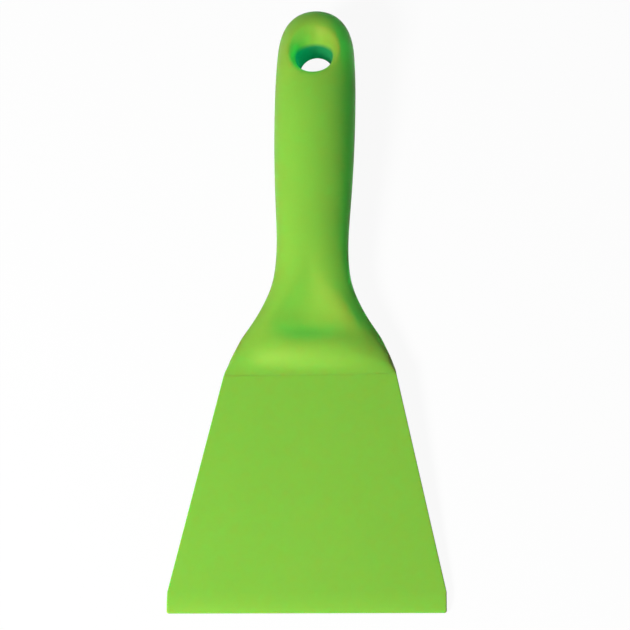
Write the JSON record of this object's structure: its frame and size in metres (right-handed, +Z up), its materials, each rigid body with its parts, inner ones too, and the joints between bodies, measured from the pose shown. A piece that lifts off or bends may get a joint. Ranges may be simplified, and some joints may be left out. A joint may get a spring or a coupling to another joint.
{
  "type": "hand scraper",
  "caption": "Stiff plastic hand scraper with a wide bevelled blade, thumb scoops, an oval grip moulded over its core and a flared hang hole.",
  "frame": {"origin": "middle of the bounding box, on the surface that the scraper lies on", "axes": "+Y from the blade's edge to the hang hole, +Z up, out of the face that is pictured, +X to the right of that face with the handle up"},
  "size_m": [0.102, 0.2486, 0.0252],
  "materials": {
    "blade_plastic": "satin moulded polypropylene",
    "handle_plastic": "satin moulded polypropylene"
  },
  "bodies": {
    "root": {"blade": "blade_plastic", "handle": "handle_plastic"}
  },
  "joints": []
}
